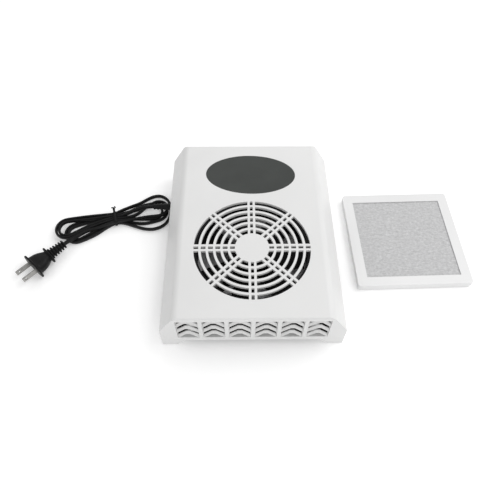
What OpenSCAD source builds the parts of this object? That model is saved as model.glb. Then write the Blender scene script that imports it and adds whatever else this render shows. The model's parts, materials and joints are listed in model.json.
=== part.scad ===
// Desktop dust collector: a low case with a round intake grille, an axial fan under it,
// a flat filter cassette that slides in from the right, chevron exhaust louvres in front,
// a tied mains cord on the left and a spare filter lying beside the case on the right.

/* [Case] */
// Widest width of the case, at its waist
body_w = 184; // [180:1:190]
// Length of the case, front to back
body_l = 225; // [222:1:232]
// Height from the table to the flat top
body_h = 58; // [57:1:62]
// Half width of the flat top, to the corner before rounding
shoulder_x = 76.3; // [74:0.1:78]
// Height of the widest line of the flanks
waist_z = 31.5; // [30:0.5:33]
// Wall thickness of the case
wall = 2.4; // [2:0.1:3]
// Thickness of the flat top
top_t = 3; // [2.5:0.1:3]
// Radius of the soft shoulders along the top
shoulder_r = 9; // [6:1:12]
// Height of the arch between the feet
arch_h = 10.6; // [9:0.1:11]
// Half width of the front arch at its top
arch_x = 68; // [60:1:70]

/* [Grille] */
// Distance from the fan axis to the case's centre, towards the front
fan_offset = 32; // [30:1:33]
// Outer radius of the outermost slot
grille_r = 60; // [58:0.5:60]
// Radius of the solid hub disc
hub_disc_r = 17.6; // [16:0.2:18]
// Number of concentric slots
slot_rings = 6; // [4:1:6]
// Width of each thin ring between two slots
ring_w = 2.5; // [2:0.1:3]
// Distance of each spoke bar's centre from the spoke's axis
bar_shift = 2.8; // [2.6:0.1:3.2]
// Width of each spoke bar
bar_w = 2.5; // [2:0.1:2.6]

/* [Front louvres] */
// Number of vent windows in the front wall
vents = 6; // [4:1:6]
// Distance between neighbouring windows
vent_pitch = 25.6; // [25:0.1:26]
// Width of a window
vent_w = 21.7; // [20:0.1:22]
// Height of a window's lower edge
vent_z0 = 17.2; // [16:0.1:19]
// Height of a window's upper edge
vent_z1 = 52; // [50:0.5:53]
// Vertical distance between two chevron slats
slat_pitch = 11.7; // [11:0.1:12.5]
// Vertical height of a slat
slat_rise = 3.4; // [3:0.1:5]

/* [Fan] */
// Side of the square fan frame
fan_w = 120; // [120:1:120]
// Depth of the fan frame
fan_t = 25; // [25:1:25]
// Number of rotor blades
blades = 7; // [5:1:9]
// Radius at the blade tips
blade_r = 56; // [54:0.5:56.5]

/* [Filter] */
// Side of the square filter cassette
filter_w = 126; // [125:0.5:126]
// Thickness of the filter cassette
filter_t = 10; // [10:0.5:10]
// Width of the cassette's border
filter_border = 11; // [10:0.5:14]
// Turn of the spare filter on the table, degrees
spare_turn = 1.5; // [0:0.5:4]

/* [Cord] */
// Diameter of the cord's plain tube
cord_d = 4.8; // [4.4:0.1:5]
// Height of the tied hank
hank_h = 11; // [10:0.5:12]

/* [Hidden] */

$fn = 64;
white = "#ECECEB";
black = "#1B1B1C";
steel = "#B9BBBD";

// Places shared by several pieces, measured from the case's own centre on the table
switch_flange = 1.5;
span_x = 334;
case_x = (body_w - span_x) / 2;
case_y = -switch_flange / 2;
fan_y = -fan_offset;
base_t = 2;
base_top = arch_h + base_t;
ceiling = body_h - top_t;
gasket_t = 1.5;
fan_z = ceiling - gasket_t - fan_t;
filter_z = fan_z - filter_t - 2.1;
screw_xy = 52.5;
slide_gap = 0.4;
foot_gap = 0.8;
foot_x = 16;
foot_y = 24;
pad_r = 5;

// Outline of the case's cross-section, right half: soft shoulder, then the waist
flank_a = atan2(body_h - waist_z, body_w / 2 - shoulder_x);
waist_r = 3;

function arc(cx, cz, r, a0, a1, n) =
    [for (i = [0 : n]) let (a = a0 + (a1 - a0) * i / n) [cx + r * cos(a), cz + r * sin(a)]];
function flip(points) = [for (i = [len(points) - 1 : -1 : 0]) [-points[i][0], points[i][1]]];
function half_section(sx, top, wx, wz, rs, rw, low) = concat(
    arc(sx - rs * tan(flank_a / 2), top - rs, rs, 90, 90 - flank_a, 12),
    arc(wx - rw, wz - rw * tan((90 - flank_a) / 2), rw, 90 - flank_a, 0, 6),
    [[wx, low]]);
function section(sx, top, wx, wz, rs, rw, low) =
    let (right = half_section(sx, top, wx, wz, rs, rw, low)) concat(right, flip(right));

function inner_shoulder() =
    shoulder_x - wall * sin(flank_a) + (top_t - wall * cos(flank_a)) / tan(flank_a);
function inner_waist() =
    waist_z - wall * cos(flank_a) + wall * (1 - sin(flank_a)) / cos(flank_a) * sin(flank_a);

// The cord's route outside the case
exit_y = 54;
exit_z = 17;
relief_len = 22;
lead_route = [[-114, 54, 17], [-121, 53.8, 16.9], [-129, 53, 16], [-137, 51.2, 13.8],
              [-145, 48.8, 10.9], [-152, 47, 8.6]];
tail_route = [[-190.8, 25.7, 7.6], [-197.5, 20.3, 8.2], [-203, 15.4, 9], [-208.5, 10.4, 9.6],
              [-213.9, 5.1, 10]];
tie_x = -160.4;
tie_y = 45.2;
tie_turn = 14;
plug_face = [-241, -24.4, 10];
plug_turn = 227.5;

// Switch on the back wall
switch_x = 45;
switch_z = 31;
pivot_y = 104.6;
rocker_tilt = 9;

module on_case() {
    translate([case_x, case_y, 0]) children();
}

module along_y(len) {
    rotate([90, 0, 0]) linear_extrude(height = len, center = true) children();
}

module along_x(len) {
    rotate([90, 0, 90]) linear_extrude(height = len, center = true) children();
}

module case_outer() {
    edge_r = 2;
    intersection() {
        along_y(body_l) polygon(section(shoulder_x, body_h, body_w / 2, waist_z,
                                        shoulder_r, waist_r, foot_gap));
        along_x(body_w + 2) polygon(concat([[body_l / 2, 0]],
            arc(body_l / 2 - edge_r, body_h - edge_r, edge_r, 0, 90, 6),
            arc(edge_r - body_l / 2, body_h - edge_r, edge_r, 90, 180, 6),
            [[-body_l / 2, 0]]));
    }
}

module case_cavity() {
    along_y(body_l - 2 * wall) polygon(section(inner_shoulder(), ceiling, body_w / 2 - wall,
        inner_waist(), shoulder_r - wall, waist_r - 1, arch_h - 0.01));
}

module foot_block(sx, sy) {
    translate([sx * (body_w / 2 - foot_x / 2), sy * (body_l / 2 - foot_y / 2), base_top / 2])
        cube([foot_x, foot_y, base_top], center = true);
}

module under_arches() {
    ramp = 8.6;
    side_y = body_l / 2 - foot_y;
    along_y(body_l + 2) polygon([[-arch_x - ramp, -1], [-arch_x - ramp, foot_gap],
        [-arch_x, arch_h], [arch_x, arch_h], [arch_x + ramp, foot_gap], [arch_x + ramp, -1]]);
    along_x(body_w + 2) polygon([[-side_y, -1], [-side_y, foot_gap], [-side_y + ramp, arch_h],
        [side_y - ramp, arch_h], [side_y, foot_gap], [side_y, -1]]);
}

module grille_slots() {
    pitch = (grille_r - hub_disc_r + ring_w) / slot_rings;
    linear_extrude(height = top_t + 2) difference() {
        circle(r = grille_r, $fn = 128);
        circle(r = hub_disc_r);
        for (k = [1 : slot_rings - 1]) difference() {
            circle(r = hub_disc_r + k * pitch, $fn = 96);
            circle(r = hub_disc_r + k * pitch - ring_w, $fn = 96);
        }
        for (a = [0 : 45 : 315], s = [-1, 1]) rotate(a)
            translate([0, s * bar_shift - bar_w / 2]) square([grille_r + 1, bar_w]);
    }
}

function oval(rx, ry) = [for (a = [0 : 4 : 356]) [rx * cos(a), ry * sin(a)]];

module at_badge() {
    badge_y = 67.5;
    translate([0, badge_y, body_h]) rotate(-2) children();
}

screw_posts = [[-62, -103], [62, -103], [-78, 40.5], [78, 40.5], [-62, 103], [62, 103]];

module screw_post_bodies() {
    post_r = 4;
    intersection() {
        case_outer();
        union() {
            for (p = screw_posts) translate([p[0], p[1], base_top])
                cylinder(r = post_r, h = body_h - base_top - top_t / 2);
            for (x = [-1, 1], y = [-1, 1])
                translate([x * screw_xy, fan_y + y * screw_xy, ceiling - gasket_t])
                    cylinder(r = post_r, h = gasket_t + top_t / 2);
        }
    }
}

module top_shell() {
    pilot_r = 1.3;
    fan_pilot_r = 1.6;
    color(white) on_case() difference() {
        union() {
            difference() {
                case_outer();
                case_cavity();
            }
            intersection() {
                case_outer();
                union() for (sx = [-1, 1], sy = [-1, 1]) foot_block(sx, sy);
            }
            screw_post_bodies();
        }
        under_arches();
        translate([0, fan_y, ceiling - 1]) grille_slots();
        for (i = [0 : vents - 1])
            translate([(i - (vents - 1) / 2) * vent_pitch - vent_w / 2, -body_l / 2 - 1, vent_z0])
                cube([vent_w, wall + 2, vent_z1 - vent_z0]);
        at_badge() translate([0, 0, -0.6]) linear_extrude(height = 1) polygon(oval(50.4, 28.6));
        // slot for the filter in the right wall, with a thumb gap under it
        translate([body_w / 2 - 6, fan_y - filter_w / 2 - slide_gap, filter_z - slide_gap])
            cube([8, filter_w + 2 * slide_gap, filter_t + 2 * slide_gap]);
        translate([body_w / 2 - 6, fan_y - 20, arch_h - 1]) cube([8, 40, filter_z - arch_h + 1]);
        // cord hole in the left wall
        translate([-body_w / 2 - 1, exit_y, exit_z]) rotate([0, 90, 0])
            cylinder(r = 5, h = wall + 2);
        // switch opening in the back wall
        translate([switch_x - 6.3, body_l / 2 - wall - 1, switch_z - 10.9])
            cube([12.6, wall + 2, 21.8]);
        for (p = screw_posts) translate([p[0], p[1], base_top - 1]) cylinder(r = pilot_r, h = 14);
        for (x = [-1, 1], y = [-1, 1])
            translate([x * screw_xy, fan_y + y * screw_xy, ceiling - gasket_t - 1])
                cylinder(r = fan_pilot_r, h = 4.5);
        for (sx = [-1, 1], sy = [-1, 1]) at_foot(sx, sy) cylinder(r = pad_r + 0.1, h = 1.7);
    }
}

module at_foot(sx, sy) {
    translate([sx * (body_w / 2 - foot_x / 2), sy * (body_l / 2 - foot_y / 2), 0]) children();
}

// One chevron slat: its lower edge lies in the front face, its upper edge further back
module chevron_slat(apex_z) {
    half = vent_w / 2 - 0.05;
    flat = 2;
    front_y = -body_l / 2 + 0.2;
    lean = 1.7;
    thick = 0.8;
    drop = half - flat;
    stations = [[-half, -drop], [-flat, 0], [flat, 0], [half, -drop]];
    points = [for (s = stations) each [
        [s[0], front_y, apex_z + s[1]],
        [s[0], front_y + lean, apex_z + s[1] + slat_rise],
        [s[0], front_y + lean + thick, apex_z + s[1] + slat_rise],
        [s[0], front_y + thick, apex_z + s[1]]]];
    sides = [for (i = [0 : 2], j = [0 : 3]) [4 * i + j, 4 * i + (j + 1) % 4,
                                             4 * i + 4 + (j + 1) % 4, 4 * i + 4 + j]];
    polyhedron(points = points, faces = concat([[3, 2, 1, 0]], sides, [[12, 13, 14, 15]]));
}

module vent_louvres() {
    plate_y = -body_l / 2 + wall;
    plate_t = 1.2;
    first_apex = 48.45;
    rows = 3;
    plate_w = vents * vent_pitch - 4;
    color(white) on_case() {
        difference() {
            translate([-plate_w / 2, plate_y, vent_z0 - 2.6])
                cube([plate_w, plate_t, vent_z1 - vent_z0 + 4.6]);
            for (i = [0 : vents - 1])
                translate([(i - (vents - 1) / 2) * vent_pitch - vent_w / 2 + 0.6,
                           plate_y - 1, vent_z0 - 0.01])
                    cube([vent_w - 1.2, plate_t + 2, vent_z1 - vent_z0 + 0.02]);
        }
        intersection() {
            for (i = [0 : vents - 1], k = [0 : rows - 1])
                translate([(i - (vents - 1) / 2) * vent_pitch, 0, 0])
                    chevron_slat(first_apex - k * slat_pitch);
            translate([-body_w / 2, -body_l / 2, vent_z0 + 0.02])
                cube([body_w, 10, vent_z1 - vent_z0 - 0.04]);
        }
    }
}

module oval_badge() {
    color("#545654") on_case() at_badge() translate([0, 0, -0.6])
        linear_extrude(height = 0.5) polygon(oval(50.3, 28.5));
}

module base_plate() {
    gap = 0.3;
    w = body_w - 2 * wall - 2 * gap;
    l = body_l - 2 * wall - 2 * gap;
    thumb_r = 20;
    hole_r = 1.6;
    color(black) on_case() difference() {
        translate([-w / 2, -l / 2, arch_h]) cube([w, l, base_t]);
        for (sx = [-1, 1], sy = [-1, 1])
            translate([sx * (body_w / 2 - foot_x / 2), sy * (body_l / 2 - foot_y / 2), arch_h])
                cube([foot_x + 2 * gap, foot_y + 2 * gap, 3 * base_t], center = true);
        translate([w / 2, fan_y, arch_h - 1]) cylinder(r = thumb_r, h = base_t + 2);
        for (p = screw_posts) translate([p[0], p[1], arch_h - 1])
            cylinder(r = hole_r, h = base_t + 2);
    }
}

module rubber_feet() {
    color("#D8D8D6") on_case()
        for (sx = [-1, 1], sy = [-1, 1]) at_foot(sx, sy) difference() {
            cylinder(r = pad_r, h = 1.7);
            translate([0, 0, -1]) cylinder(r = pad_r - 2.2, h = 1.5);
        }
}

module base_screws() {
    color(steel) on_case() for (p = screw_posts) translate([p[0], p[1], 0]) difference() {
        union() {
            translate([0, 0, arch_h - 1.8]) cylinder(r = 3, h = 1.8);
            translate([0, 0, arch_h - 1]) cylinder(r = 1.25, h = 12);
        }
        for (a = [0, 90]) translate([0, 0, arch_h - 1.8]) rotate(a)
            cube([3.4, 0.8, 1.6], center = true);
    }
}

module fan_gasket() {
    color("#2B2B2B") on_case() translate([0, fan_y, ceiling - gasket_t]) difference() {
        translate([-59.5, -59.5, 0]) cube([119, 119, gasket_t]);
        translate([0, 0, -1]) cylinder(r = 57.5, h = gasket_t + 2, $fn = 96);
        for (x = [-1, 1], y = [-1, 1]) translate([x * screw_xy, y * screw_xy, -1])
            cylinder(r = 4.3, h = gasket_t + 2);
    }
}

module fan_flange() {
    r = 5;
    side = fan_w - 2 * r;
    flange_t = 4;
    linear_extrude(height = flange_t) union() {
        square([fan_w, side], center = true);
        square([side, fan_w], center = true);
        for (x = [-1, 1], y = [-1, 1]) translate([x * side / 2, y * side / 2]) circle(r = r);
    }
}

// Heights inside the fan, measured from its underside
plate_h = 2.5;
tube_h = 17;
cup_z = 3.4;
cup_h = 19;
bore_r = 57.6;
tube_r = 5.5;
seat_r = 4;
shaft_r = 1.5;

module fan_frame() {
    strut_w = 7;
    cup_r = 21;
    recess = 0.3;
    color("#222223") on_case() translate([0, fan_y, fan_z]) difference() {
        union() {
            difference() {
                union() {
                    fan_flange();
                    translate([0, 0, fan_t - 4]) fan_flange();
                    cylinder(r = fan_w / 2 - 0.1, h = fan_t, $fn = 96);
                }
                translate([0, 0, -1]) cylinder(r = bore_r, h = fan_t + 2, $fn = 96);
            }
            translate([0, 0, recess]) linear_extrude(height = plate_h - recess) union() {
                circle(r = cup_r);
                for (a = [45, 135]) rotate(a) square([2 * bore_r + 2, strut_w], center = true);
            }
            translate([0, 0, recess]) cylinder(r = tube_r, h = tube_h - recess);
        }
        translate([0, 0, 1]) cylinder(r = seat_r, h = tube_h);
        for (x = [-1, 1], y = [-1, 1]) translate([x * screw_xy, y * screw_xy, -1])
            cylinder(r = 2.15, h = fan_t + 2);
    }
}

module fan_screws() {
    color(steel) on_case() for (x = [-1, 1], y = [-1, 1])
        translate([x * screw_xy, fan_y + y * screw_xy, fan_z]) difference() {
            union() {
                translate([0, 0, -1.6]) cylinder(r = 3.6, h = 1.6);
                translate([0, 0, -1]) cylinder(r = 1.55, h = fan_t + 1 + 3);
            }
            for (a = [0, 90]) rotate(a) translate([0, 0, -1.6]) cube([4, 0.9, 1.4], center = true);
        }
}

module fan_rotor() {
    cup_r = 20;
    blade_w = 27;
    blade_t = 1.8;
    pitch_a = 38;
    color(black) on_case() translate([0, fan_y, fan_z + cup_z]) {
        difference() {
            union() {
                cylinder(r = cup_r, h = cup_h);
                intersection() {
                    difference() {
                        cylinder(r = blade_r, h = cup_h, $fn = 96);
                        translate([0, 0, -1]) cylinder(r = cup_r - 1, h = cup_h + 2);
                    }
                    union() for (i = [0 : blades - 1]) rotate(i * 360 / blades)
                        translate([blade_r / 2 + 8, 0, cup_h / 2]) rotate([pitch_a, 0, 0])
                            cube([blade_r - cup_r + 16, blade_w, blade_t], center = true);
                }
            }
            translate([0, 0, -1]) cylinder(r = cup_r - 1.6, h = cup_h - 1);
            translate([0, 0, cup_h - 3]) cylinder(r = shaft_r, h = 2);
        }
    }
}

module rotor_magnet() {
    color("#3A3A3C") on_case() translate([0, fan_y, fan_z + cup_z]) difference() {
        cylinder(r = 18.4, h = 14);
        translate([0, 0, -1]) cylinder(r = 16.6, h = 16);
    }
}

module fan_shaft() {
    color(steel) on_case() translate([0, fan_y, fan_z + 1.4])
        cylinder(r = shaft_r, h = cup_z + cup_h - 1 - 1.4);
}

module shaft_clip() {
    color(steel) on_case() translate([0, fan_y, fan_z + 1.5]) difference() {
        cylinder(r = 2.8, h = 0.5);
        translate([0, 0, -1]) cylinder(r = shaft_r, h = 2);
    }
}

module bearing(z) {
    running_gap = 0.04;
    color("#C9B37A") on_case() translate([0, fan_y, fan_z + z]) difference() {
        cylinder(r = seat_r, h = 4);
        translate([0, 0, -1]) cylinder(r = shaft_r + running_gap, h = 6);
    }
}

module upper_bearing() {
    bearing(tube_h - 4);
}

module lower_bearing() {
    bearing(2.4);
}

stator_z = 5.4;
stator_h = 9;

module stator_core() {
    pole_r = 16.1;
    color("#8C8F92") on_case() translate([0, fan_y, fan_z + stator_z]) difference() {
        intersection() {
            cylinder(r = pole_r, h = stator_h);
            union() {
                cylinder(r = 8, h = stator_h);
                for (a = [0, 90]) rotate(a) translate([-17, -2, 0]) cube([34, 4, stator_h]);
                difference() {
                    cylinder(r = 17, h = stator_h);
                    translate([0, 0, -1]) cylinder(r = 14, h = stator_h + 2);
                    for (a = [0, 90]) rotate(a + 45)
                        translate([-20, -4, -1]) cube([40, 8, stator_h + 2]);
                }
            }
        }
        translate([0, 0, -1]) cylinder(r = tube_r, h = stator_h + 2);
    }
}

module stator_windings() {
    color("#B5683A") on_case() translate([0, fan_y, fan_z + stator_z])
        for (a = [0 : 90 : 270]) rotate(a) difference() {
            translate([8.9, -3.8, -1.2]) cube([4.3, 7.6, stator_h + 2.4]);
            translate([7, -2, 0]) cube([9, 4, stator_h]);
        }
}

// U-shaped moulding that guides the cassette along X and stops it on the left
module filter_bay() {
    lip_in = 4;
    web_t = 2.4;
    x0 = -filter_w / 2 - 0.4;
    x1 = body_w / 2 - wall - 0.4;
    y0 = fan_y - filter_w / 2 - slide_gap;
    y1 = fan_y + filter_w / 2 + slide_gap;
    rail_top = filter_z + filter_t;
    lip_z = filter_z - slide_gap;
    posts = [-60, -30, 0, 30, 60, 86];
    color("#2B2B2B") on_case() difference() {
        union() {
            translate([x0 - web_t, y0 - web_t, base_top])
                cube([x1 - x0 + web_t, web_t + lip_in, lip_z - base_top]);
            translate([x0 - web_t, y0 - web_t, base_top])
                cube([x1 - x0 + web_t, web_t, rail_top - base_top]);
            translate([x0 - web_t, y1 - lip_in, base_top])
                cube([x1 - x0 + web_t, lip_in + web_t, lip_z - base_top]);
            translate([x0 - web_t, y1, base_top])
                cube([x1 - x0 + web_t, web_t, rail_top - base_top]);
            translate([x0 - web_t, y0, base_top]) cube([web_t, y1 - y0, rail_top - base_top]);
        }
        // air ways under the front rail, between its posts
        for (i = [0 : len(posts) - 2])
            translate([posts[i] + 3, y0 - web_t - 1, base_top - 1])
                cube([posts[i + 1] - posts[i] - 6, web_t + lip_in + 2, lip_z - base_top - 0.2]);
    }
}

module rear_partition() {
    t = 1.8;
    y0 = fan_y + filter_w / 2 + slide_gap + 2.4 + 0.2;
    lead_hole_z = fan_z + fan_t - 2;
    color("#2B2B2B") on_case() difference() {
        translate([0, y0 + t / 2, 0]) along_y(t) polygon(section(inner_shoulder() - 0.3,
            ceiling - 0.1, body_w / 2 - wall - 0.3, inner_waist(), shoulder_r - wall,
            waist_r - 1, base_top));
        translate([0, y0 - 1, lead_hole_z]) rotate([-90, 0, 0])
            for (x = [-43, -39]) translate([x, 0, 0]) cylinder(r = 1.6, h = t + 2);
    }
}

module cassette() {
    r = 3;
    open_w = filter_w - 2 * filter_border;
    seam_z = 3.4;
    difference() {
        union() {
            rounded_slab(filter_w, r, seam_z, filter_t - seam_z);
            rounded_slab(filter_w - 1.2, r - 0.6, 0, seam_z + 0.1);
        }
        translate([-open_w / 2, -open_w / 2, -1]) cube([open_w, open_w, filter_t + 2]);
        // groove that holds the media
        translate([-open_w / 2 - 1.5, -open_w / 2 - 1.5, 3.6])
            cube([open_w + 3, open_w + 3, 5.5]);
    }
}

module rounded_slab(w, r, z, h) {
    translate([0, 0, z]) linear_extrude(height = h) union() {
        square([w, w - 2 * r], center = true);
        square([w - 2 * r, w], center = true);
        for (x = [-1, 1], y = [-1, 1]) translate([x * (w / 2 - r), y * (w / 2 - r)])
            circle(r = r, $fn = 32);
    }
}

module media_sheet() {
    open_w = filter_w - 2 * filter_border;
    translate([-open_w / 2 - 1.4, -open_w / 2 - 1.4, 3.7])
        cube([open_w + 2.8, open_w + 2.8, 5.3]);
}

module at_bay() {
    on_case() translate([0, fan_y, filter_z]) children();
}

module at_spare() {
    half = filter_w / 2 * (cos(spare_turn) + sin(spare_turn));
    spare_y = 12.3;
    translate([span_x / 2 - half + 0.05, spare_y, 0]) rotate(spare_turn) children();
}

module filter_frame() {
    color("#F0F0F0") at_bay() cassette();
}

module filter_media() {
    color("#C6C6C8") at_bay() media_sheet();
}

module spare_filter_frame() {
    color("#F0F0F0") at_spare() cassette();
}

module spare_filter_media() {
    color("#C6C6C8") at_spare() media_sheet();
}

module at_switch() {
    on_case() translate([switch_x, pivot_y, switch_z]) children();
}

module switch_housing() {
    back = 8;
    front = body_l / 2 - pivot_y;
    pin_r = 1.25;
    color(black) at_switch() difference() {
        union() {
            translate([-6.2, -back, -10.8]) cube([12.4, back + front, 21.6]);
            translate([-7.5, front, -12.5]) cube([15, switch_flange, 25]);
        }
        translate([-5, -back + 2, -9.7]) cube([10, back + front + 2, 19.4]);
        rotate([0, 90, 0]) cylinder(r = pin_r, h = 14, center = true);
    }
}

module switch_rocker() {
    face = 7.6;
    color(black) at_switch() rotate([rocker_tilt, 0, 0]) {
        along_x(9.4) polygon([[-3, -3.5], [-3, 3.5], [3, 8], [face, 8], [face - 1.3, 0],
                              [face, -8], [3, -8]]);
        rotate([0, 90, 0]) cylinder(r = 1.2, h = 12.2, center = true);
    }
}

module switch_terminals() {
    color("#C8A95A") at_switch() for (z = [-6, 0, 6])
        translate([-2.4, -14, z - 0.4]) cube([4.8, 6, 0.8]);
}

block_x = -52;
block_y = 46;

module terminal_block() {
    w = 24;
    l = 16;
    h = 12;
    color("#E8E4D8") on_case() translate([block_x, block_y, base_top]) difference() {
        cube([w, l, h]);
        for (x = [4, 12, 20]) translate([x, l / 2, 5]) cylinder(r = 2, h = 10);
    }
}

module terminal_screws() {
    color("#C8A95A") on_case() for (x = [4, 12, 20])
        translate([block_x + x, block_y + 8, base_top + 5]) difference() {
            cylinder(r = 1.9, h = 4);
            translate([0, 0, 4]) cube([5, 0.7, 1.6], center = true);
        }
}

module cord_clamp() {
    color("#2B2B2B") on_case() translate([-70, exit_y, base_top]) difference() {
        union() {
            translate([-5, -5, 0]) cube([10, 10, 9]);
            translate([-5, -11, 0]) cube([10, 22, 2.4]);
        }
        translate([-6, 0, exit_z - base_top]) rotate([0, 90, 0])
            cylinder(r = cord_d / 2 + 0.05, h = 12);
        for (y = [-8, 8]) translate([0, y, -1]) cylinder(r = 1.3, h = 5);
    }
}

module clamp_screws() {
    color(steel) on_case() for (y = [-8, 8]) translate([-70, exit_y + y, base_top]) difference() {
        union() {
            translate([0, 0, 0.1]) cylinder(r = 1.2, h = 3);
            translate([0, 0, 2.4]) cylinder(r = 2.4, h = 1.5);
        }
        translate([0, 0, 3.9]) cube([3.2, 0.7, 1.2], center = true);
    }
}

// A round wire along straight runs, with a ball at each bend
module wire(points, r) {
    for (i = [0 : len(points) - 2]) {
        v = points[i + 1] - points[i];
        translate(points[i]) rotate([0, acos(v[2] / norm(v)), atan2(v[1], v[0])])
            cylinder(r = r, h = norm(v), $fn = 16);
    }
    for (i = [1 : len(points) - 2]) translate(points[i]) sphere(r = r, $fn = 16);
}

lead_r = 0.9;

module fan_leads() {
    top = fan_z + fan_t - 2;
    color("#7A4A2C") on_case() for (x = [-43, -39])
        wire([[x, block_y, base_top + 6], [x, 40.5, base_top + 6], [x, 40.5, top],
              [x, fan_y + fan_w / 2, top]], lead_r);
}

module switch_leads() {
    color("#2C4A8A") on_case() for (z = [-6, 6])
        tube([[block_x + 24.1, block_y + 8 + z / 2, base_top + 6],
              [-20, 55 + z / 2, base_top + 6],
              [5, 66 + z / 2, base_top + 7 + z / 4],
              [28, 79 + z / 2, switch_z - 6 + z / 2],
              [switch_x - 3, 86 + z / 4, switch_z - 1 + z],
              [switch_x, pivot_y - 15.2, switch_z + z]], lead_r);
}

module inner_cord() {
    color(black) on_case() translate([-body_w / 2 - relief_len, exit_y, exit_z])
        rotate([0, 90, 0]) cylinder(r = cord_d / 2, h = body_w / 2 + relief_len + block_x);
}

module strain_relief() {
    outer = body_w / 2;
    ribs = 5;
    tip_r = 3.4;
    root_r = 4.4;
    color(black) on_case() translate([-outer, exit_y, exit_z]) rotate([0, -90, 0]) difference() {
        union() {
            translate([0, 0, -wall - 1.8]) cylinder(r = 6, h = 1.8);
            translate([0, 0, -wall]) cylinder(r = 5, h = wall);
            cylinder(r = 6.2, h = 1.6);
            cylinder(r1 = root_r - 0.6, r2 = tip_r - 0.6, h = relief_len);
            for (i = [1 : ribs]) translate([0, 0, i * (relief_len - 1.6) / ribs])
                cylinder(r = root_r + (tip_r - root_r) * i / ribs, h = 1.6);
        }
        translate([0, 0, -wall - 3]) cylinder(r = cord_d / 2 + 0.05, h = relief_len + wall + 4);
        // flat under the inner flange, clear of the base plate
        translate([-7, -7, -wall - 3]) cube([7 - (exit_z - base_top - 0.2), 14, 3]);
    }
}

// A round tube swept along a route, one ring of points at each route point
function unit(v) = v / norm(v);
function tangent(p, i) = unit(p[min(i + 1, len(p) - 1)] - p[max(i - 1, 0)]);

module tube(route, r) {
    sides = 8;
    rings = [for (i = [0 : len(route) - 1])
        let (t = tangent(route, i), side = unit(cross(t, [0, 0, 1])), up = cross(side, t))
        for (k = [0 : sides - 1]) route[i] + r * (cos(k * 45) * side + sin(k * 45) * up)];
    n = len(route);
    skin = [for (i = [0 : n - 2], k = [0 : sides - 1])
        [i * sides + k, i * sides + (k + 1) % sides,
         (i + 1) * sides + (k + 1) % sides, (i + 1) * sides + k]];
    start = [for (k = [sides - 1 : -1 : 0]) k];
    end = [for (k = [0 : sides - 1]) (n - 1) * sides + k];
    polyhedron(points = rings, faces = concat([start], skin, [end]));
}

module cord_lead() {
    color(black) on_case() tube(lead_route, cord_d / 2);
}

module cord_tail() {
    color(black) on_case() tube(tail_route, cord_d / 2);
}

// The tied hank as one solid: two lobes that narrow to the tie
module cord_hank() {
    color(black) on_case() linear_extrude(height = hank_h) {
        hull() {
            translate([-208, 29]) circle(r = 17, $fn = 32);
            translate([tie_x, tie_y]) circle(r = 8, $fn = 32);
        }
        hull() {
            translate([tie_x, tie_y]) circle(r = 8, $fn = 32);
            translate([-113, 67]) circle(r = 15, $fn = 32);
            translate([-112, 43]) circle(r = 14, $fn = 32);
        }
    }
}

module cord_tie() {
    band = 1.2;
    tie_w = 18.4;
    tie_h = hank_h + band;
    color("#111112") on_case() translate([tie_x, tie_y, 0]) rotate(tie_turn) {
        difference() {
            translate([-1.5, -tie_w / 2, 0]) cube([3, tie_w, tie_h]);
            translate([-3, -tie_w / 2 + band, band]) cube([6, tie_w - 2 * band, tie_h - 2 * band]);
        }
        translate([-0.8, tie_w / 2 - 2, tie_h - 0.5]) rotate([35, 0, 0]) cube([1.6, 9, 1.2]);
    }
}

module on_plug() {
    on_case() translate(plug_face) rotate(plug_turn) children();
}

// A slab across the plug's axis, with rounded edges, from x to x + t
module plug_slab(x, t, w, h, r) {
    translate([x, 0, 0]) hull() for (y = [-1, 1], z = [-1, 1])
        translate([0, y * (w / 2 - r), z * (h / 2 - r)]) rotate([0, 90, 0])
            cylinder(r = r, h = t, $fn = 24);
}

module plug_relief() {
    ribs = 6;
    start = -22;
    length = 19.5;
    thin = 3.2;
    color(black) on_plug() rotate([0, -90, 0]) translate([0, 0, -start]) difference() {
        union() {
            cylinder(r1 = thin + 1.4, r2 = thin, h = length);
            for (i = [0 : ribs - 1]) translate([0, 0, 1 + i * (length - 2.6) / (ribs - 1)])
                cylinder(r = 6.6 - 1.3 * i / (ribs - 1), h = 1.6);
        }
        translate([0, 0, length - 4]) cylinder(r = cord_d / 2, h = 5);
    }
}

module plug_body() {
    color(black) on_plug() {
        plug_slab(-2, 2, 31, 20, 7);
        hull() {
            plug_slab(-4, 2, 22, 15, 6);
            plug_slab(-11, 2, 21, 14.5, 6);
            plug_slab(-19, 1, 14, 12, 5);
        }
        plug_slab(-22, 2, 20, 15.5, 6);
        plug_slab(-20.5, 2, 12, 11, 5);
    }
}

module plug_blades() {
    blade_gap = 12.7;
    blade_l = 17.5;
    color(steel) on_plug() for (s = [-1, 1]) translate([0, s * blade_gap / 2, 0]) difference() {
        translate([0, -0.75, -3.15]) cube([blade_l, 1.5, 6.3]);
        translate([blade_l - 4, 0, 0]) rotate([90, 0, 0]) cylinder(r = 1.6, h = 4, center = true);
    }
}

top_shell();
vent_louvres();
oval_badge();
base_plate();
rubber_feet();
base_screws();
fan_gasket();
fan_frame();
fan_screws();
fan_rotor();
rotor_magnet();
fan_shaft();
shaft_clip();
upper_bearing();
lower_bearing();
stator_core();
stator_windings();
filter_bay();
rear_partition();
filter_frame();
filter_media();
spare_filter_frame();
spare_filter_media();
switch_housing();
switch_rocker();
switch_terminals();
terminal_block();
terminal_screws();
cord_clamp();
clamp_screws();
fan_leads();
switch_leads();
inner_cord();
strain_relief();
cord_lead();
cord_hank();
cord_tie();
cord_tail();
plug_relief();
plug_body();
plug_blades();
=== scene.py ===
"""Looks of a desktop nail dust collector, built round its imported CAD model."""
import json
import math

import bpy
from mathutils import Matrix, Vector, noise


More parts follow.
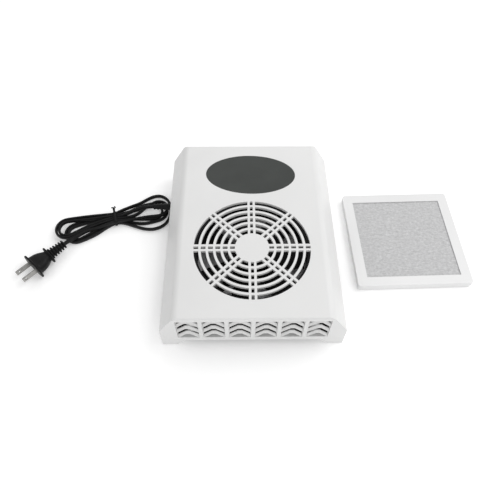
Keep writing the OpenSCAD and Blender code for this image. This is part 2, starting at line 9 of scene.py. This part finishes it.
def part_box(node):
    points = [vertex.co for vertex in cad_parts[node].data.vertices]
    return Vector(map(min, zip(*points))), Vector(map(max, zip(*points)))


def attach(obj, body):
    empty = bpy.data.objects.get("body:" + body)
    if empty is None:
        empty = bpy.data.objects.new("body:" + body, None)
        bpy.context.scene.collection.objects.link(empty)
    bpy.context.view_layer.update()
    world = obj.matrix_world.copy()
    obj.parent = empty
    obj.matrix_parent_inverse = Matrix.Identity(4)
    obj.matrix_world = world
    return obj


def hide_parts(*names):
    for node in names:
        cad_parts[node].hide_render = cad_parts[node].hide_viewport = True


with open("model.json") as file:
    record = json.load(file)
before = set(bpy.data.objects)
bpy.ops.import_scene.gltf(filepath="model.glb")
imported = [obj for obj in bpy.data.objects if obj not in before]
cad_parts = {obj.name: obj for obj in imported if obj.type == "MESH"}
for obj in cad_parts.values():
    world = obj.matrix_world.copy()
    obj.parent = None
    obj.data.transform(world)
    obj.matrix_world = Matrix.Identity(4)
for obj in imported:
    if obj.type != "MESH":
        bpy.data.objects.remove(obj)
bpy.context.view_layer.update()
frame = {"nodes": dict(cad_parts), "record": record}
nodes = frame["nodes"]

MM = 0.001
shell_low, shell_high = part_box("top_shell")
CASE = Vector(((shell_low.x + shell_high.x) / 2, (shell_low.y + shell_high.y) / 2, 0))


# ---------------------------------------------------------------- camera
CAMERA_AT = (-0.0870, -0.3168, 0.4845)
CAMERA_DOWN = 56.06
CAMERA_YAW = 0.96
CAMERA_ROLL = 0.45
LENS = 36.84


def make_camera():
    data = bpy.data.cameras.new("camera")
    data.lens = LENS
    data.clip_start = 0.01
    camera = bpy.data.objects.new("camera", data)
    camera.location = CAMERA_AT
    turn = Matrix.Rotation(math.radians(-CAMERA_YAW), 4, "Z")
    tilt = Matrix.Rotation(math.radians(90 - CAMERA_DOWN), 4, "X")
    roll = Matrix.Rotation(math.radians(CAMERA_ROLL), 4, "Z")
    camera.rotation_euler = (turn @ tilt @ roll).to_euler()
    bpy.context.scene.collection.objects.link(camera)
    bpy.context.scene.camera = camera


make_camera()


# ---------------------------------------------------------------- material tools
class Nodes:
    """A material's node tree, with short names for what is used here."""

    def __init__(self, name, colour, roughness, metallic=0.0, **sockets):
        self.material = bpy.data.materials.new(name)
        self.material.use_nodes = True
        self.tree = self.material.node_tree
        self.shader = self.tree.nodes["Principled BSDF"]
        self.shader.inputs["Base Color"].default_value = (*colour, 1)
        self.shader.inputs["Roughness"].default_value = roughness
        self.shader.inputs["Metallic"].default_value = metallic
        for socket, value in sockets.items():
            self.shader.inputs[socket.replace("_", " ")].default_value = value
        self.material.diffuse_color = (*colour, 1)
        self.place = self.add("ShaderNodeTexCoord").outputs["Object"]
        self.colour = colour

    def add(self, kind, **settings):
        node = self.tree.nodes.new(kind)
        for key, value in settings.items():
            setattr(node, key, value)
        return node

    def link(self, out, into):
        self.tree.links.new(out, into)

    def scaled(self, x, y, z):
        node = self.add("ShaderNodeMapping")
        node.inputs["Scale"].default_value = (x, y, z)
        self.link(self.place, node.inputs["Vector"])
        return node.outputs["Vector"]

    def waves(self, scale, distortion):
        """Parallel bands, one above the other."""
        node = self.add("ShaderNodeTexWave", bands_direction="Z")
        node.inputs["Scale"].default_value = scale
        node.inputs["Distortion"].default_value = distortion
        self.link(self.place, node.inputs["Vector"])
        return node.outputs["Fac"]

    def noise(self, scale, detail=3.0, rough=0.5, vector=None):
        node = self.add("ShaderNodeTexNoise")
        node.inputs["Scale"].default_value = scale
        node.inputs["Detail"].default_value = detail
        node.inputs["Roughness"].default_value = rough
        self.link(vector or self.place, node.inputs["Vector"])
        return node.outputs["Fac"]

    def cells(self, scale):
        node = self.add("ShaderNodeTexVoronoi")
        node.inputs["Scale"].default_value = scale
        self.link(self.place, node.inputs["Vector"])
        return node.outputs["Distance"]

    def ranged(self, value, low, high, start=0.3, stop=0.7):
        """Carries start..stop over to low..high."""
        node = self.add("ShaderNodeMapRange")
        limits = {"From Min": start, "From Max": stop, "To Min": low, "To Max": high}
        for socket, number in limits.items():
            node.inputs[socket].default_value = number
        self.link(value, node.inputs["Value"])
        return node.outputs["Result"]

    def times(self, a, b):
        node = self.add("ShaderNodeMath", operation="MULTIPLY")
        self.link(a, node.inputs[0])
        self.link(b, node.inputs[1])
        return node.outputs[0]

    def shade(self, value, dark, light, start=0.3, stop=0.7):
        """Base colour between two shades of the material's own colour, as value says."""
        ramp = self.add("ShaderNodeValToRGB")
        for element, at, gain in zip(ramp.color_ramp.elements, (start, stop), (dark, light)):
            element.position = at
            element.color = (*[min(1.0, c * gain) for c in self.colour], 1)
        self.link(value, ramp.inputs["Fac"])
        self.link(ramp.outputs["Color"], self.shader.inputs["Base Color"])

    def gloss(self, value, low, high):
        self.link(self.ranged(value, low, high), self.shader.inputs["Roughness"])

    def bump(self, *layers):
        """Each layer is (height, depth in metres, strength)."""
        normal = None
        for height, depth, strength in layers:
            node = self.add("ShaderNodeBump")
            node.inputs["Distance"].default_value = depth
            node.inputs["Strength"].default_value = strength
            self.link(height, node.inputs["Height"])
            if normal:
                self.link(normal, node.inputs["Normal"])
            normal = node.outputs["Normal"]
        self.link(normal, self.shader.inputs["Normal"])


def moulded(name, colour, roughness, grain=2600, depth=0.03, **sockets):
    """Moulded plastic: a fine spark-eroded grain, faint flow marks and uneven gloss."""
    m = Nodes(name, colour, roughness, **sockets)
    m.shade(m.noise(14, 4), 0.975, 1.015)
    m.gloss(m.noise(60, 5, 0.6), roughness - 0.05, roughness + 0.07)
    m.bump((m.noise(grain, 2), depth * MM, 0.35), (m.noise(9, 2), 0.6 * MM, 0.05))
    return m.material


def metal(name, colour, roughness, along=(40, 3000, 3000), depth=0.01):
    """Brushed metal: fine parallel scratches and a little tarnish."""
    m = Nodes(name, colour, roughness, metallic=1.0)
    streaks = m.noise(1, 3, 0.6, m.scaled(*along))
    m.shade(m.noise(240, 4), 0.82, 1.06)
    m.gloss(streaks, roughness - 0.08, roughness + 0.14)
    m.bump((streaks, depth * MM, 0.3))
    return m.material


def soft_rubber(name, colour, roughness, grain=1800, **sockets):
    """Black PVC or rubber: satin skin with pores and rubbed, greyer patches."""
    m = Nodes(name, colour, roughness, **sockets)
    m.shade(m.noise(130, 5, 0.65), 0.8, 1.5)
    m.gloss(m.noise(350, 4), roughness - 0.07, roughness + 0.1)
    m.bump((m.noise(grain, 3), 0.03 * MM, 0.3), (m.noise(160, 2), 0.12 * MM, 0.12))
    return m.material


def fibre_mat(name, colour):
    """Grey non-woven mat: crossed fibres, darker clumps and fine drawn streaks along X."""
    m = Nodes(name, colour, 0.95, Sheen_Weight=0.25, Sheen_Roughness=0.6, Specular_IOR_Level=0.15)
    streaks = m.noise(1, 4, 0.75, m.scaled(160, 1100, 900))
    clumps = m.noise(330, 6, 0.75)
    both = m.times(streaks, clumps)
    m.shade(both, 0.72, 1.16, 0.14, 0.40)
    m.bump((streaks, 0.16 * MM, 0.7), (m.noise(2300, 4, 0.7), 0.1 * MM, 0.8))
    return m.material


def laminations(name):
    """Stacked steel sheets, seen as fine lines across Z."""
    m = Nodes(name, (0.30, 0.31, 0.32), 0.42, metallic=1.0)
    lines = m.waves(320, 0.4)
    m.shade(lines, 0.55, 1.2, 0.1, 0.8)
    m.bump((lines, 0.05 * MM, 0.6))
    return m.material


def wound_copper(name):
    """Enamelled wire, wound in close turns."""
    m = Nodes(name, (0.52, 0.19, 0.07), 0.3, metallic=0.85, Coat_Weight=0.5)
    turns = m.waves(420, 1.2)
    m.shade(turns, 0.45, 1.25, 0.1, 0.9)
    m.bump((turns, 0.12 * MM, 0.9))
    return m.material


def magnet(name):
    """Sintered ferrite: dull, dark and grainy."""
    m = Nodes(name, (0.055, 0.055, 0.06), 0.6, metallic=0.3)
    m.shade(m.noise(900, 5, 0.7), 0.6, 1.6)
    m.bump((m.noise(2600, 3), 0.05 * MM, 0.6))
    return m.material


def foam(name):
    """Closed-cell foam with open pores along its cut faces."""
    m = Nodes(name, (0.010, 0.010, 0.0105), 0.9, Specular_IOR_Level=0.15)
    pores = m.cells(1500)
    m.shade(pores, 0.5, 1.6, 0.1, 0.6)
    m.bump((pores, 0.2 * MM, 0.8))
    return m.material


def badge_plate(name):
    """Dark grey plate with a satin lacquer and very fine specks."""
    m = Nodes(name, (0.048, 0.052, 0.049), 0.42, Coat_Weight=0.1, Coat_Roughness=0.3,
              Specular_IOR_Level=0.12)
    m.shade(m.noise(30, 3), 0.93, 1.1)
    m.gloss(m.noise(500, 4), 0.33, 0.46)
    m.bump((m.noise(3000, 2), 0.012 * MM, 0.35))
    return m.material


WHITE = (0.745, 0.745, 0.741)
PVC_BLACK = (0.006, 0.006, 0.0062)
materials = {
    "case_white": moulded("case_white", WHITE, 0.42),
    "badge_grey": badge_plate("badge_grey"),
    "pad_rubber": soft_rubber("pad_rubber", (0.56, 0.56, 0.54), 0.7),
    "screw_steel": metal("screw_steel", (0.60, 0.61, 0.62), 0.3),
    "foam_black": foam("foam_black"),
    "fan_black": moulded("fan_black", (0.006, 0.006, 0.006), 0.5, 3200, 0.04,
                         Specular_IOR_Level=0.15),
    "magnet_grey": magnet("magnet_grey"),
    "bronze": metal("bronze", (0.50, 0.33, 0.13), 0.42, (900, 900, 900), 0.03),
    "lamination_steel": laminations("lamination_steel"),
    "copper_wire": wound_copper("copper_wire"),
    "base_black": moulded("base_black", (0.010, 0.010, 0.010), 0.55, 1500, 0.06,
                          Specular_IOR_Level=0.25),
    "inner_plastic": moulded("inner_plastic", (0.014, 0.014, 0.014), 0.5, 1900, 0.04,
                             Specular_IOR_Level=0.25),
    "filter_white": moulded("filter_white", (0.77, 0.77, 0.77), 0.36, 3400, 0.015),
    "filter_fabric": fibre_mat("filter_fabric", (0.57, 0.57, 0.575)),
    "switch_black": moulded("switch_black", (0.010, 0.010, 0.011), 0.24, 3600, 0.012,
                            Coat_Weight=0.3),
    "contact_brass": metal("contact_brass", (0.58, 0.42, 0.14), 0.34),
    "block_cream": moulded("block_cream", (0.68, 0.64, 0.54), 0.45),
    "lead_brown": soft_rubber("lead_brown", (0.10, 0.035, 0.014), 0.4),
    "lead_blue": soft_rubber("lead_blue", (0.012, 0.05, 0.26), 0.4),
    "cord_black": soft_rubber("cord_black", PVC_BLACK, 0.4, Specular_IOR_Level=0.16),
    "plug_black": soft_rubber("plug_black", PVC_BLACK, 0.44, Specular_IOR_Level=0.16),
    "blade_steel": metal("blade_steel", (0.42, 0.415, 0.40), 0.3, (120, 120, 3000)),
}
slot_of = {part["node"]: part["material_slot"] for part in frame["record"]["subparts"]}


def finish_node(name):
    """Gives a CAD node its material, in its object's own slots."""
    node = nodes[name]
    if not node.material_slots:
        node.data.materials.append(None)
    for place in node.material_slots:
        place.link = "OBJECT"
        place.material = materials[slot_of[name]]


for name in nodes:
    finish_node(name)


# ---------------------------------------------------------------- mesh tools
def piece(name, points, faces, slot, body="case"):
    """A smooth-shaded object of these points and faces, which rides on body."""
    mesh = bpy.data.meshes.new(name)
    mesh.from_pydata([tuple(p) for p in points], [], faces)
    mesh.validate()
    mesh.polygons.foreach_set("use_smooth", [True] * len(mesh.polygons))
    mesh.materials.append(materials[slot])
    made = bpy.data.objects.new(name, mesh)
    bpy.context.scene.collection.objects.link(made)
    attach(made, body)
    return made


def curve_through(points, step):
    """Centripetal Catmull-Rom curve through the points, with a point about every step."""
    ends = [2 * points[0] - points[1], *points, 2 * points[-1] - points[-2]]
    knots = [0.0]
    for a, b in zip(ends, ends[1:]):
        knots.append(knots[-1] + math.sqrt((b - a).length))

    def mix(p, q, start, stop, at):
        return p + (q - p) * ((at - start) / (stop - start))

    line = []
    for i in range(1, len(ends) - 2):
        a, b, c, d = ends[i - 1:i + 3]
        ta, tb, tc, td = knots[i - 1:i + 3]
        count = max(1, round((c - b).length / step))
        for k in range(count):
            t = tb + (tc - tb) * k / count
            ab, bc, cd = mix(a, b, ta, tb, t), mix(b, c, tb, tc, t), mix(c, d, tc, td, t)
            line.append(mix(mix(ab, bc, ta, tc, t), mix(bc, cd, tb, td, t), tb, tc, t))
    line.append(points[-1])
    return line


def eased(line, rounds):
    """Evens out the bends of a line, whose two ends stay where they are."""
    for _ in range(rounds):
        inner = [(a + 2 * b + c) / 4 for a, b, c in zip(line, line[1:], line[2:])]
        line = [line[0], *inner, line[-1]]
    return line


def loft(rings, closed=False):
    """A skin through rings of equal point counts, capped at both ends or closed into a loop."""
    points = [p for ring in rings for p in ring]
    count = len(rings[0])
    faces = []
    for i in range(len(rings) if closed else len(rings) - 1):
        j = (i + 1) % len(rings)
        for k in range(count):
            n = (k + 1) % count
            faces.append((i * count + k, i * count + n, j * count + n, j * count + k))
    if not closed:
        faces.append(tuple(range(count - 1, -1, -1)))
        faces.append(tuple((len(rings) - 1) * count + k for k in range(count)))
    return points, faces


def sweep(line, profile, twist=None):
    """A skin of a profile (wide axis, thin axis) along a line, the wide axis upright unless twisted."""
    rings = []
    for i, at in enumerate(line):
        ahead = (line[min(i + 1, len(line) - 1)] - line[max(i - 1, 0)]).normalized()
        side = ahead.cross(Vector((0, 0, 1))).normalized()
        up = side.cross(ahead)
        angle = twist(i) if twist else 0.0
        wide = up * math.cos(angle) + side * math.sin(angle)
        thin = side * math.cos(angle) - up * math.sin(angle)
        rings.append([at + wide * a + thin * b for a, b in profile])
    return loft(rings)


def joined(*parts):
    """Several (points, faces) as one."""
    points, faces = [], []
    for more_points, more_faces in parts:
        start = len(points)
        points += more_points
        faces += [tuple(start + i for i in face) for face in more_faces]
    return points, faces


# ---------------------------------------------------------------- mains cord
# The cord comes out of the case along LEAD, lies in a flat hank that a tie holds round its
# middle, and leaves for the plug along TAIL. Both are the CAD's points, in metres from the case.
CORD_WIDE = 4.8 * MM
CORD_THIN = 2.8 * MM
LOW, HIGH = 2.6, 7.5  # heights of the hank's two layers, mm
STRAND = 2.95         # distance between strands in the tie, mm
TIE_AT = CASE + Vector((-160.4, 45.2, 0)) * MM
TIE_TURN = math.radians(14)
LEAD = [(-0.114, 0.054, 0.017), (-0.121, 0.0538, 0.0169), (-0.129, 0.053, 0.016),
        (-0.137, 0.0512, 0.0138), (-0.145, 0.0488, 0.0109), (-0.152, 0.047, 0.0086)]
TAIL = [(-0.1908, 0.0257, 0.0076), (-0.1975, 0.0203, 0.0082), (-0.203, 0.0154, 0.009),
        (-0.2085, 0.0104, 0.0096), (-0.2139, 0.0051, 0.010)]
ROUND = [math.radians(15 * k) for k in range(24)]


def in_hank(u, v, z):
    """A point of the hank: u along it to the right, v across it, z up, all in mm."""
    c, s = math.cos(TIE_TURN), math.sin(TIE_TURN)
    return TIE_AT + Vector((u * c - v * s, u * s + v * c, z)) * MM


def lower(k):
    """Place k of the four strands of the lower layer, inside the tie."""
    return in_hank(0, (k - 2.5) * STRAND, LOW)


def upper(k):
    """Place k of the five strands of the upper layer, inside the tie."""
    return in_hank(0, (k - 3) * STRAND, HIGH)


def bend(side, u, v, radius, z, first, last, sag=0.0):
    """A turn of the cord round (u, v), at the hank's right (side 1) or left (side -1) end.

    It runs from the first to the last angle, in degrees from its outer side, which sags by sag mm.
    """
    steps = 13
    made = []
    for i in range(steps + 1):
        a = math.radians(first + (last - first) * i / steps)
        made.append(in_hank(u + side * radius * math.cos(a), v + radius * math.sin(a),
                            z - sag * max(0.0, math.cos(a)) ** 3))
    return made


def cord_route():
    """Nine passes through the tie: in from the case, four turns at each end, out to the plug."""
    h = in_hank
    route = [CASE + Vector(p) for p in LEAD]
    route += [upper(3), h(-12, -1.0, HIGH), h(-30, -4.4, HIGH)]
    route += bend(-1, -55.4, -2.3, 10.2, HIGH, -105, 96, 0.8)
    route += [h(-32, 5.2, HIGH), h(-12, 3.6, HIGH), upper(4)]
    route += [h(13, 3.9, HIGH), h(22, 6.4, 5.4), h(32, 9.6, LOW)]
    route += bend(1, 45.5, 0.8, 10.4, LOW, 97, -102)
    route += [h(31, -6.6, LOW), h(20, -3.2, LOW), h(9, 0.0, LOW), lower(3)]
    route += [h(-12, 2.6, LOW), h(-30, 4.4, LOW)]
    route += bend(-1, -46.0, -7.6, 10.3, LOW, 84, -110)
    route += [h(-28, -11.4, LOW), h(-13, -5.6, LOW), lower(2)]
    route += [h(9, -3.4, LOW), h(20, -9.6, LOW), h(32, -13.6, LOW)]
    route += bend(1, 48.5, 0.4, 13.6, LOW, -88, 92)
    route += [h(33, 13.4, LOW), h(21, 9.6, LOW), h(9, 5.4, LOW), lower(4)]
    route += [h(-12, 5.9, LOW), h(-30, 7.6, LOW)]
    route += bend(-1, -46.4, -7.7, 13.3, LOW, 83, -105)
    route += [h(-25, -15.2, LOW), h(-12, -8.4, LOW), lower(1)]
    route += [h(9, -7.0, LOW), h(20, -14.4, LOW), h(30, -20.8, LOW), h(40, -24.2, LOW),
              h(50, -23.4, LOW), h(58.4, -18.2, LOW), h(63.6, -9.8, LOW), h(66, 0, LOW),
              h(66.4, 8.6, LOW), h(64.2, 16.4, LOW), h(59, 22.4, LOW), h(51.4, 24.6, LOW),
              h(42, 22.4, LOW), h(32, 18.2, LOW), h(21, 13.8, 4.8), h(10, 9.0, 7.3)]
    route += [upper(5), h(-12, 7.0, HIGH), h(-30, 9.2, HIGH)]
    route += bend(-1, -55.7, -2.2, 13.3, HIGH, 94, -107, 0.8)
    route += [h(-33, -8.4, HIGH), h(-12, -3.9, HIGH), upper(2)]
    route += [h(10, -3.1, HIGH), h(20, -3.4, HIGH), h(28, -0.6, HIGH), h(37, 5.8, HIGH)]
    route += bend(1, 52, 0.8, 10.8, HIGH, 111, -96)
    route += [h(36, -8.4, HIGH), h(22, -8.0, HIGH), h(10, -6.6, HIGH), upper(1)]
    route += [h(-11, -7.8, HIGH), h(-22, -10.2, HIGH)]
    route += [CASE + Vector(p) for p in TAIL]
    return route


def twin_profile(wide, thin):
    """Two round cores side by side under one skin, with a shallow groove between them."""
    r = thin / 2
    shape = []
    for a in ROUND:
        x = (wide / 2 - r) * (1 if math.cos(a) > 0 else -1) + r * math.cos(a)
        groove = 1 - 0.2 * math.exp(-(x / (0.3 * r)) ** 2)
        shape.append((x, r * math.sin(a) * groove))
    return shape


cord_line = eased(curve_through(cord_route(), step=1.6 * MM), rounds=3)
TURN_OVER = 18  # rings over which the cord turns flat before the plug


def lie_flat(i):
    """The cord's twist at ring i: on edge in the hank, flat where it enters the plug."""
    left = len(cord_line) - 1 - i
    share = max(0.0, 1 - left / TURN_OVER)
    return math.pi / 2 * share * share * (3 - 2 * share)


cord_skin = sweep(cord_line, twin_profile(CORD_WIDE, CORD_THIN), lie_flat)
power_cord = piece("power_cord", *cord_skin, "cord_black")
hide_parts("cord_lead", "cord_hank", "cord_tail")


# ---------------------------------------------------------------- twist tie
def tie_band():
    """A flat band with a wire rib, hugging the bundle as a rounded rectangle."""
    half_v, low, high, corner, skew = 8.0, 0.65, 10.6, 3.0, 0.25  # mm
    centre_z = (low + high) / 2
    half_z = (high - low) / 2
    outline = []
    for quarter, (sv, sz) in enumerate(((1, 1), (-1, 1), (-1, -1), (1, -1))):  # four corners
        for k in range(7):
            a = math.radians(90 * quarter + 15 * k)
            outline.append((sv * (half_v - corner) + corner * math.cos(a),
                            centre_z + sz * (half_z - corner) + corner * math.sin(a)))
    # Across the band and out from the bundle: a thin strip with its wire along the middle.
    profile = [(-1.5, 0.0), (-0.5, 0.0), (0.5, 0.0), (1.5, 0.0), (1.5, 0.35), (0.5, 0.4),
               (0.22, 0.6), (-0.22, 0.6), (-0.5, 0.4), (-1.5, 0.35)]
    rings = []
    for v, z in outline:
        nv, nz = v / half_v, (z - centre_z) / half_z
        size = math.hypot(nv, nz)
        rings.append([in_hank(u + skew * nz, v + out * nv / size, z + out * nz / size)
                      for u, out in profile])
    return loft(rings, closed=True)


def tie_end(sign):
    """One of the two ends, twisted round the other and then bent away from it."""
    turns, steps = 2.2, 22
    twist, apart = 0.8, 0.7       # radius of the twist, mm, and the share after which it opens
    v, z = 7.4, 9.6               # where the twist starts, mm
    along, rise = 6.2, 1.4        # and how far it goes
    route = []
    for i in range(steps + 1):
        t = i / steps
        a = 2 * math.pi * turns * t + (0 if sign > 0 else math.pi)
        spread = twist + max(0.0, t - apart) * 6
        route.append(in_hank(sign * 0.15 + spread * math.cos(a), v + along * t,
                             z + rise * t + twist * math.sin(a)))
    profile = [(1.0 * MM * math.cos(a), 0.5 * MM * math.sin(a)) for a in ROUND[::3]]
    return sweep(route, profile)


twist_tie = piece("twist_tie", *joined(tie_band(), tie_end(1), tie_end(-1)), "plug_black")
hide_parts("cord_tie")


# ---------------------------------------------------------------- plug
PLUG_FACE = CASE + Vector((-241, -24.4, 10)) * MM
PLUG_TURN = math.radians(227.5)


def plug_ring(x, width, height, power=3.0, points=40):
    """A superellipse across the plug's axis, x mm in front of its face."""
    c, s = math.cos(PLUG_TURN), math.sin(PLUG_TURN)
    ring = []
    for k in range(points):
        a = 2 * math.pi * k / points
        y = width / 2 * math.copysign(abs(math.cos(a)) ** (2 / power), math.cos(a))
        z = height / 2 * math.copysign(abs(math.sin(a)) ** (2 / power), math.sin(a))
        ring.append(PLUG_FACE + Vector((x * c - y * s, x * s + y * c, z)) * MM)
    return ring


def plug_moulding():
    """The plug's grip, in three stretches of (x, width, height, squareness), all but the last in mm."""
    flange = [(0, 27.5, 17.0, 3.2), (0, 29.4, 18.6, 3.2), (-0.25, 30.6, 19.7, 3.2),
              (-0.7, 31, 20, 3.2), (-1.5, 31, 20, 3.2), (-1.95, 30.5, 19.6, 3.2),
              (-2.2, 29.4, 18.6, 3.2), (-2.35, 25.6, 16.6, 3.0)]
    waist = [(-2.7, 24.2, 15.8, 2.8), (-3.6, 23.6, 15.4, 2.6), (-6, 23.4, 15.2, 2.5),
             (-9, 22.6, 14.8, 2.5), (-12, 20.8, 14.0, 2.5), (-14.6, 18.2, 13.0, 2.5),
             (-16.8, 15.4, 12.0, 2.5), (-18.4, 13.4, 11.2, 2.5), (-19.5, 12.8, 10.9, 2.6)]
    collar = [(-19.8, 13.6, 11.4, 2.8), (-19.95, 17.6, 13.6, 3.0), (-20.2, 19.4, 15.0, 3.0),
              (-20.7, 20, 15.5, 3.0), (-21.4, 20, 15.5, 3.0), (-21.8, 19.4, 15.0, 3.0),
              (-22, 17.8, 13.8, 3.0)]
    return loft([plug_ring(*section) for section in flange + waist + collar])


def plug_ribs():
    """The flexible tail of the plug: thin fins on a tapered core, in rings of (x, diameter), mm."""
    fins = 6
    start, length = -21.9, 19.6
    sections = [(start, 9.6)]
    for k in range(fins):
        x = start - 1.0 - k * (length - 2.6) / (fins - 1)
        core = 9.2 - 2.8 * k / (fins - 1)
        fin = 13.2 - 2.6 * k / (fins - 1)
        sections += [(x + 0.15, core), (x, fin - 0.9), (x - 0.25, fin),
                     (x - 1.25, fin - 0.1), (x - 1.5, fin - 1.0), (x - 1.65, core)]
    sections += [(start - length + 0.1, 6.4), (start - length, 5.9)]
    return loft([plug_ring(x, wide, wide, power=2.0) for x, wide in sections])


plug_grip = piece("plug_moulding", *plug_moulding(), "plug_black")
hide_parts("plug_body")
plug_tail = piece("plug_ribbed_tail", *plug_ribs(), "plug_black")
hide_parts("plug_relief")


# ---------------------------------------------------------------- filter mats
SPARE_TURN = math.radians(1.5)  # how far the spare filter lies turned
MAT_HALF = 53.3 * MM
CROWN = 0.9 * MM
EDGE = 5 * MM                   # width over which the mat thins out to its held edge


def mat_height(x, y):
    """How far the underside and the top of a mat lie above its held edges, at a point of the mat."""
    edge = min(1.0, (MAT_HALF - max(abs(x), abs(y))) / EDGE)
    crown = CROWN * (1 - (x / MAT_HALF) ** 2) * (1 - (y / MAT_HALF) ** 2)
    heights = []
    for layer in (0, 1):
        at = Vector((x * 420, y * 900, 7.0 * layer))
        rough = 0.22 * MM * noise.fractal(at, 0.8, 2.1, 4) + 0.3 * MM * noise.noise(at * 0.07)
        heights.append((crown * 0.6 + rough) * edge if layer else 0.4 * crown * edge - rough * edge)
    return heights


def mat_piece(name, node, body, frame_node):
    """A fibre mat held by its edges in the frame: slightly crowned, with a rough top and underside."""
    low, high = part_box(frame_node)
    mat_low, mat_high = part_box(node)
    centre = (low + high) / 2
    turn = SPARE_TURN if body == "spare_filter" else 0.0
    c, s = math.cos(turn), math.sin(turn)
    cells = 150
    row = cells + 1
    under, top = [], []
    for j in range(row):
        for i in range(row):
            x, y = (-MAT_HALF + 2 * MAT_HALF * n / cells for n in (i, j))
            place = (centre.x + x * c - y * s, centre.y + x * s + y * c)
            down, up = mat_height(x, y)
            under.append(Vector((*place, mat_low.z + 0.3 * MM + down)))
            top.append(Vector((*place, mat_high.z - 0.25 * MM + up)))
    count = row * row
    faces = []
    for j in range(cells):
        for i in range(cells):
            a = j * row + i
            faces.append((a, a + row, a + row + 1, a + 1))
            b = a + count
            faces.append((b, b + 1, b + row + 1, b + row))
    rim = list(range(cells)) + [cells + row * j for j in range(cells)]
    rim += [cells * row + cells - i for i in range(cells)] + [row * (cells - j) for j in range(cells)]
    for a, b in zip(rim, rim[1:] + rim[:1]):
        faces.append((a, b, b + count, a + count))
    made = piece(name, under + top, faces, "filter_fabric", body)
    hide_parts(node)


mat_piece("fibre_mat", "filter_media", "filter", "filter_frame")
mat_piece("spare_fibre_mat", "spare_filter_media", "spare_filter", "spare_filter_frame")


# ---------------------------------------------------------------- floor and light
def make_stage():
    """White paper, which gives off a little light of its own as a lit studio table does."""
    size = 12.0
    floor = bpy.data.objects.new("floor", bpy.data.meshes.new("floor"))
    corners = [(-size, -size, 0), (size, -size, 0), (size, size, 0), (-size, size, 0)]
    floor.data.from_pydata(corners, [], [(0, 1, 2, 3)])
    paper = Nodes("floor_paper", (0.93, 0.93, 0.93), 0.9, Specular_IOR_Level=0.2,
                  Emission_Color=(1, 1, 1, 1), Emission_Strength=0.2)
    paper.shade(paper.noise(3, 2), 0.99, 1.01)
    floor.data.materials.append(paper.material)
    bpy.context.scene.collection.objects.link(floor)


def area_light(name, at, aim, size, watts):
    data = bpy.data.lights.new(name, "AREA")
    data.shape = "DISK"
    data.size = size
    data.energy = watts
    light = bpy.data.objects.new(name, data)
    light.location = at
    light.rotation_euler = (Vector(aim) - Vector(at)).to_track_quat("-Z", "Y").to_euler()
    bpy.context.scene.collection.objects.link(light)


def make_lights():
    world = bpy.data.worlds.new("studio")
    bpy.context.scene.world = world
    world.use_nodes = True
    background = world.node_tree.nodes["Background"]
    background.inputs["Color"].default_value = (1, 1, 1, 1)
    background.inputs["Strength"].default_value = 0.625
    area_light("key", at=(0.75, 0.2, 1.15), aim=(0, 0, 0.02), size=1.1, watts=7.2)
    area_light("fill", at=(0.3, -0.95, 0.9), aim=(0, 0, 0.02), size=1.2, watts=2.7)
    area_light("back", at=(-0.2, 1.1, 0.9), aim=(-0.05, 0, 0.03), size=0.9, watts=2.4)


make_stage()
make_lights()
bpy.context.scene.view_settings.view_transform = "Standard"
